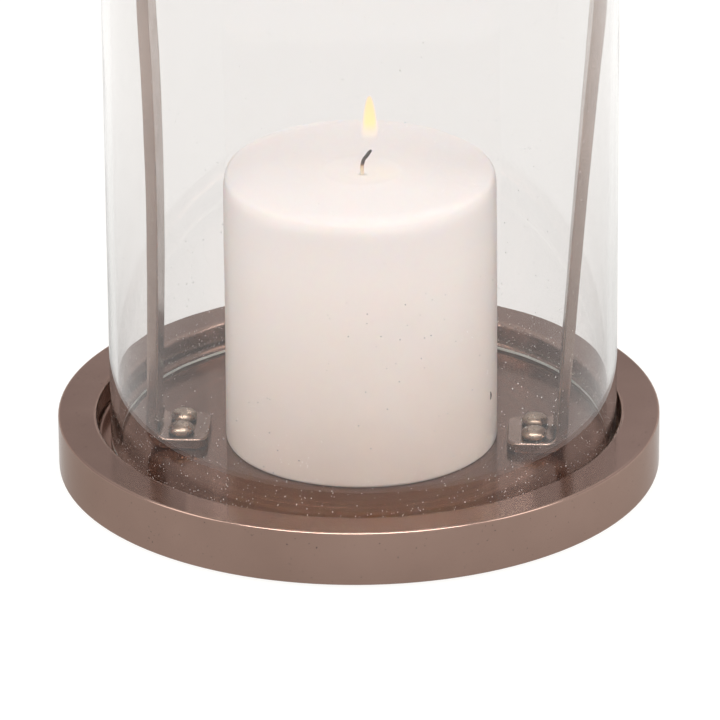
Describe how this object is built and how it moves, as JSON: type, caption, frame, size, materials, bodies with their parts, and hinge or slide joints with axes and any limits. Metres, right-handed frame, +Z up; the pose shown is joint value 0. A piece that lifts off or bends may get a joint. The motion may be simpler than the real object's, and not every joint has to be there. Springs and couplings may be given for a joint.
{
  "type": "hurricane candle lantern",
  "caption": "Low round metal tray with a raised rim, a flat-bar carrying handle riveted inside a loose open glass cylinder, and a pillar candle with a wick.",
  "frame": {"origin": "centre of the round tray at the level its pads stand on", "axes": "+Z up, +X along the handle from one foot to the other, -Y towards the viewer"},
  "size_m": [0.22, 0.22, 0.3043],
  "materials": {
    "tray_metal": "polished cast metal plated a warm rose bronze",
    "strap_metal": "satin bar plated a paler bronze",
    "rivet_metal": "polished champagne nickel",
    "clear_glass": "clear blown glass with fine seeds",
    "ivory_wax": "smooth ivory paraffin wax",
    "wick_cotton": "waxed cotton, burnt black at the tip",
    "tab_metal": "plain thin sheet",
    "felt": "dense brown felt"
  },
  "bodies": {
    "base": {"base_tray": "tray_metal", "handle_strap": "strap_metal", "felt_pad_1": "felt", "felt_pad_2": "felt", "felt_pad_3": "felt", "felt_pad_4": "felt", "rivet_left_front": "rivet_metal", "rivet_left_back": "rivet_metal", "rivet_right_front": "rivet_metal", "rivet_right_back": "rivet_metal", "rivet_washer_left_front": "rivet_metal", "rivet_washer_left_back": "rivet_metal", "rivet_washer_right_front": "rivet_metal", "rivet_washer_right_back": "rivet_metal"},
    "glass": {"glass_chimney": "clear_glass"},
    "candle": {"candle_wax": "ivory_wax", "candle_wick": "wick_cotton", "wick_tab": "tab_metal"}
  },
  "joints": [
    {"name": "glass_lift", "type": "slide", "parent": "base", "child": "glass", "axis": [0, 0, 1], "range_m": [0, 0.3]},
    {"name": "candle_lift", "type": "slide", "parent": "base", "child": "candle", "axis": [0, 0, 1], "range_m": [0, 0.14]}
  ]
}
